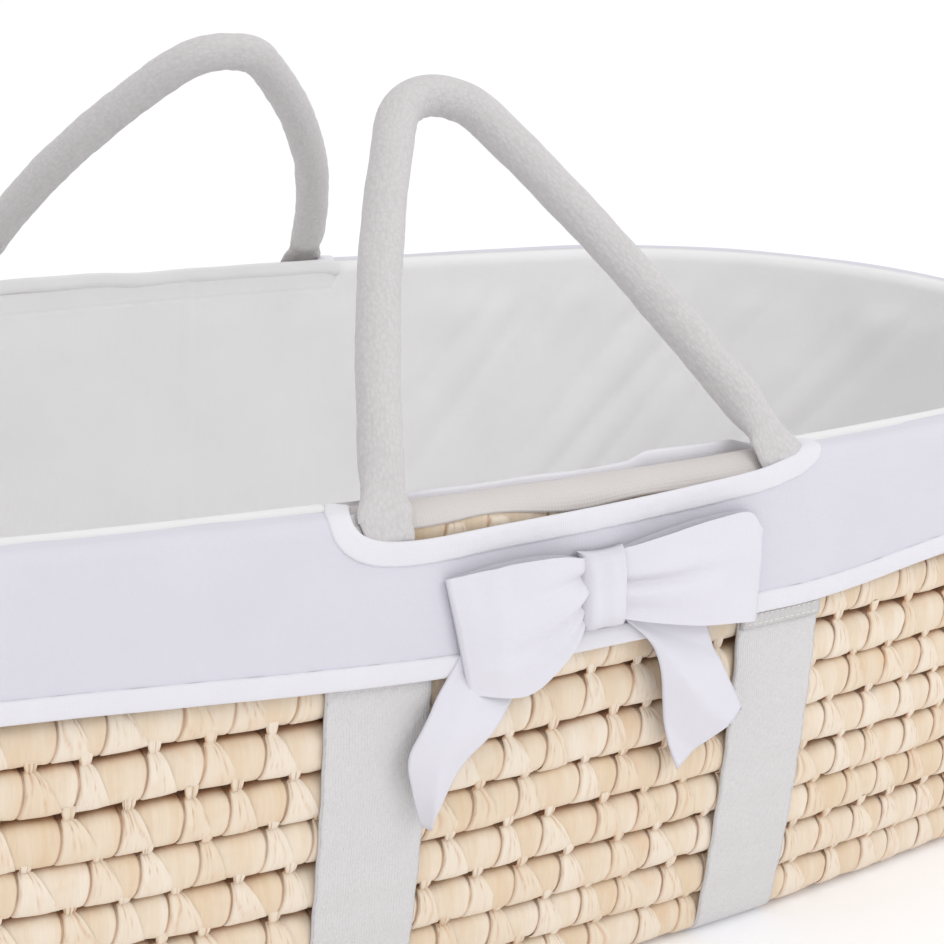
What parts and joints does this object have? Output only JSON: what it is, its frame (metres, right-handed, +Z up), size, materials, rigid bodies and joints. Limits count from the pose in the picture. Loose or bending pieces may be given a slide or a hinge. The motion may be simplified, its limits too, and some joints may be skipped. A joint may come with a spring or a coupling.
{
  "type": "moses basket",
  "caption": "Oval coiled husk moses basket with webbing carrying straps, hinged soft handles, a bow-trimmed cotton liner folded over the rim, and a lift-out mattress.",
  "frame": {"origin": "the floor under the centre of the basket's oval", "axes": "+X along the basket's length, +Y across it to the back, +Z up"},
  "size_m": [0.891, 0.4565, 0.3669],
  "materials": {
    "husk": "husk-wrapped coils with fan stitches, matt",
    "tape": "cream cotton tape",
    "webbing": "off-white ribbed cotton webbing",
    "handle_knit": "off-white fine knit over a soft tube",
    "core": "foam rope core",
    "thread": "cotton thread",
    "liner": "light grey-white cotton",
    "liner_skirt": "bluish white cotton",
    "trim": "bright white bias binding and hem",
    "bow": "bluish white cotton",
    "foam": "soft foam",
    "mattress_cover": "white cotton cover"
  },
  "bodies": {
    "basket": {"base_mat": "husk", "wall_course_01": "husk", "wall_course_02": "husk", "wall_course_03": "husk", "wall_course_04": "husk", "wall_course_05": "husk", "wall_course_06": "husk", "wall_course_07": "husk", "wall_course_08": "husk", "wall_course_09": "husk", "wall_course_10": "husk", "wall_course_11": "husk", "rim_tape": "tape", "strap_left": "webbing", "strap_right": "webbing", "handle_tail_front_left": "handle_knit", "handle_tail_front_right": "handle_knit", "handle_tail_back_left": "handle_knit", "handle_tail_back_right": "handle_knit", "lap_stitching": "thread", "liner_wall": "liner", "liner_floor": "liner", "liner_skirt": "liner_skirt", "skirt_hem": "trim", "slot_binding_front": "trim", "slot_binding_back": "trim", "slot_hem_front": "trim", "slot_hem_back": "trim", "bow_knot": "bow", "bow_loop_left": "bow", "bow_loop_right": "bow", "bow_tail_left": "bow", "bow_tail_right": "bow"},
    "handle_front": {"handle_front_sleeve": "handle_knit", "handle_front_core": "core"},
    "handle_back": {"handle_back_sleeve": "handle_knit", "handle_back_core": "core"},
    "mattress": {"mattress_foam": "foam", "mattress_cover": "mattress_cover"}
  },
  "joints": [
    {"name": "handle_front_fold", "type": "hinge", "parent": "basket", "child": "handle_front", "pos_m": [0, -0.21239, 0.22301], "axis": [1, 0, 0], "range_deg": [0, 125]},
    {"name": "handle_back_fold", "type": "hinge", "parent": "basket", "child": "handle_back", "pos_m": [0, 0.21239, 0.22301], "axis": [-1, 0, 0], "range_deg": [0, 125]},
    {"name": "mattress_lift", "type": "slide", "parent": "basket", "child": "mattress", "axis": [0, 0, 1], "range_m": [0, 0.15]}
  ]
}
